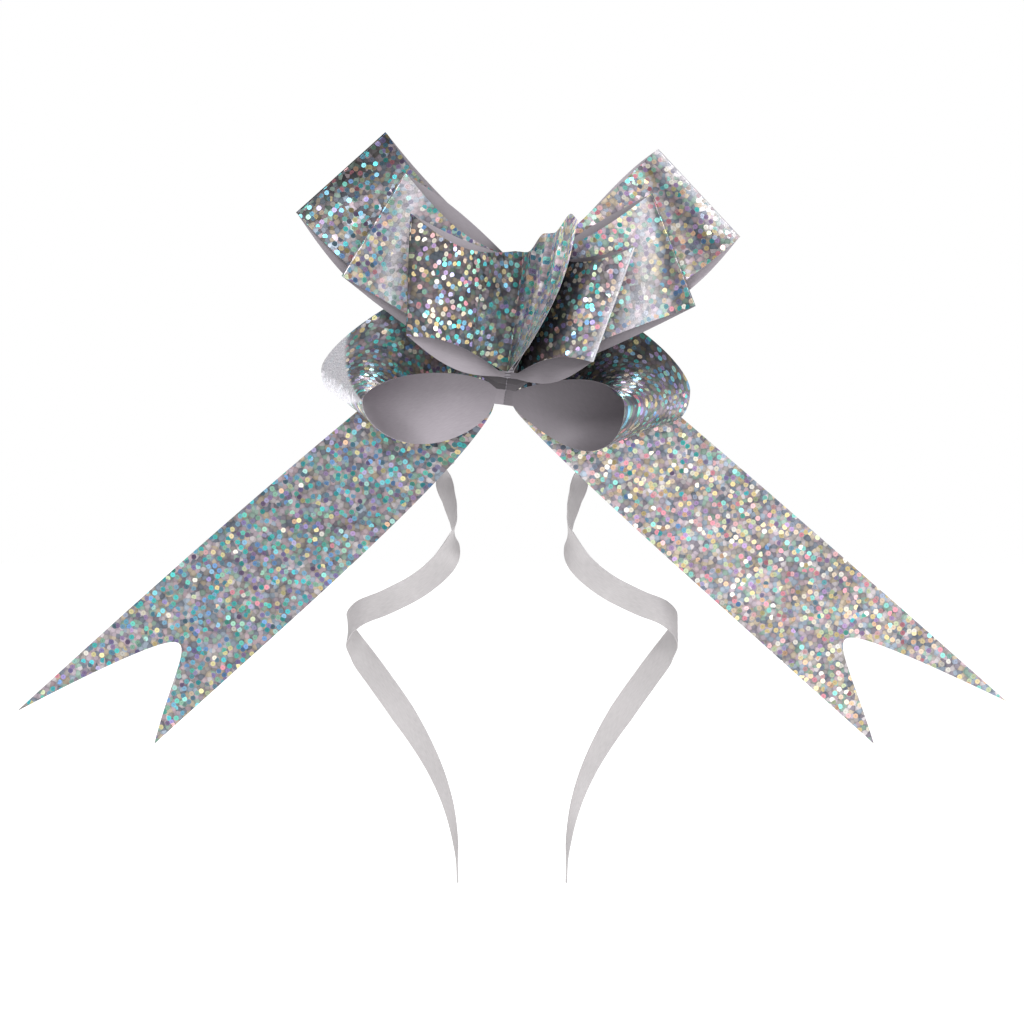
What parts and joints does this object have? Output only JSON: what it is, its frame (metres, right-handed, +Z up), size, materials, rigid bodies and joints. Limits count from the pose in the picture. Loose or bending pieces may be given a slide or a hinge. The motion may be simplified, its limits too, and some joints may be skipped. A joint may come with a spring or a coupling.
{
  "type": "pull bow",
  "caption": "Butterfly pull bow of metallised dot film: ribbon loops and forked tails welded at stacked waists, gathered on narrow pull ribbons.",
  "frame": {"origin": "middle of the flat patch above the slot on the back face of the rearmost waist weld, where the bow is fastened", "axes": "+X to the right seen from the front, +Y back into the wrapped gift, +Z up"},
  "size_m": [0.2582, 0.0534, 0.1958],
  "materials": {
    "dot_film": "metallised film, silver with random round dots that split light, satin grey on the back",
    "pull_film": "plain satin grey film",
    "weld": "flattened, heat sealed film"
  },
  "bodies": {
    "base": {"waist_weld_0": "weld"},
    "weld_1": {"waist_weld_1": "weld"},
    "weld_2": {"waist_weld_2": "weld"},
    "weld_3": {"waist_weld_3": "weld"},
    "string": {"waist_weld_4": "weld", "string_run_left": "pull_film", "string_run_right": "pull_film"},
    "loop_left_1": {"loop_left_1": "dot_film"},
    "loop_right_1": {"loop_right_1": "dot_film"},
    "loop_left_2": {"loop_left_2": "dot_film"},
    "loop_right_2": {"loop_right_2": "dot_film"},
    "loop_left_3": {"loop_left_3": "dot_film"},
    "loop_right_3": {"loop_right_3": "dot_film"},
    "loop_left_4": {"loop_left_4": "dot_film"},
    "loop_right_4": {"loop_right_4": "dot_film"},
    "tail_left": {"tail_left": "dot_film"},
    "tail_right": {"tail_right": "dot_film"},
    "end_tabs": {"end_tab_front": "dot_film", "end_tab_rear": "dot_film"},
    "pull_ribbon_left": {"pull_ribbon_left": "pull_film"},
    "pull_ribbon_right": {"pull_ribbon_right": "pull_film"}
  },
  "joints": [
    {"name": "string_slide", "type": "slide", "parent": "base", "child": "string", "axis": [0.0696, -0.866, 0.4951], "range_m": [0, 0.006]},
    {"name": "weld_1_slide", "type": "slide", "parent": "base", "child": "weld_1", "axis": [0.0696, -0.866, 0.4951], "range_m": [0, 0.0015]},
    {"name": "weld_2_slide", "type": "slide", "parent": "base", "child": "weld_2", "axis": [0.0696, -0.866, 0.4951], "range_m": [0, 0.003]},
    {"name": "weld_3_slide", "type": "slide", "parent": "base", "child": "weld_3", "axis": [0.0696, -0.866, 0.4951], "range_m": [0, 0.0045]},
    {"name": "loop_left_1_fan", "type": "hinge", "parent": "base", "child": "loop_left_1", "pos_m": [-0.00138, -0.0004, -0.0098], "axis": [0, 1, 0], "range_deg": [-6, 0]},
    {"name": "loop_right_1_fan", "type": "hinge", "parent": "base", "child": "loop_right_1", "pos_m": [-0.00138, -0.0004, -0.0098], "axis": [0, 1, 0], "range_deg": [0, 6]},
    {"name": "loop_left_2_fan", "type": "hinge", "parent": "weld_1", "child": "loop_left_2", "pos_m": [-0.00085, -0.0069, -0.00608], "axis": [0, 1, 0], "range_deg": [-3, 8]},
    {"name": "loop_right_2_fan", "type": "hinge", "parent": "weld_1", "child": "loop_right_2", "pos_m": [-0.00085, -0.0069, -0.00608], "axis": [0, 1, 0], "range_deg": [-8, 3]},
    {"name": "loop_left_3_fan", "type": "hinge", "parent": "weld_2", "child": "loop_left_3", "pos_m": [-0.00065, -0.00949, -0.0046], "axis": [0, 1, 0], "range_deg": [-5, 6]},
    {"name": "loop_right_3_fan", "type": "hinge", "parent": "weld_2", "child": "loop_right_3", "pos_m": [-0.00065, -0.00949, -0.0046], "axis": [0, 1, 0], "range_deg": [-6, 5]},
    {"name": "loop_left_4_fan", "type": "hinge", "parent": "weld_3", "child": "loop_left_4", "pos_m": [-0.00044, -0.01209, -0.00311], "axis": [0, 1, 0], "range_deg": [-4, 4]},
    {"name": "loop_right_4_fan", "type": "hinge", "parent": "weld_3", "child": "loop_right_4", "pos_m": [-0.00044, -0.01209, -0.00311], "axis": [0, 1, 0], "range_deg": [-4, 4]},
    {"name": "tail_left_swing", "type": "hinge", "parent": "base", "child": "tail_left", "pos_m": [-0.00138, -0.0004, -0.0098], "axis": [0, 1, 0], "range_deg": [-8, 8]},
    {"name": "tail_right_swing", "type": "hinge", "parent": "base", "child": "tail_right", "pos_m": [-0.00138, -0.0004, -0.0098], "axis": [0, 1, 0], "range_deg": [-8, 8]},
    {"name": "end_tabs_swing", "type": "hinge", "parent": "string", "child": "end_tabs", "pos_m": [-0.00023, -0.01469, -0.00163], "axis": [0, 1, 0], "range_deg": [-5, 5]},
    {"name": "pull_ribbon_left_swing", "type": "hinge", "parent": "string", "child": "pull_ribbon_left", "pos_m": [-0.00187, 0.00575, -0.01331], "axis": [0, 1, 0], "range_deg": [-5, 5]},
    {"name": "pull_ribbon_right_swing", "type": "hinge", "parent": "string", "child": "pull_ribbon_right", "pos_m": [-0.00187, 0.00575, -0.01331], "axis": [0, 1, 0], "range_deg": [-5, 5]}
  ],
  "couplings": [
    {"joint": "weld_1_slide", "follows": "string_slide", "ratio": 0.25},
    {"joint": "weld_2_slide", "follows": "string_slide", "ratio": 0.5},
    {"joint": "weld_3_slide", "follows": "string_slide", "ratio": 0.75}
  ]
}
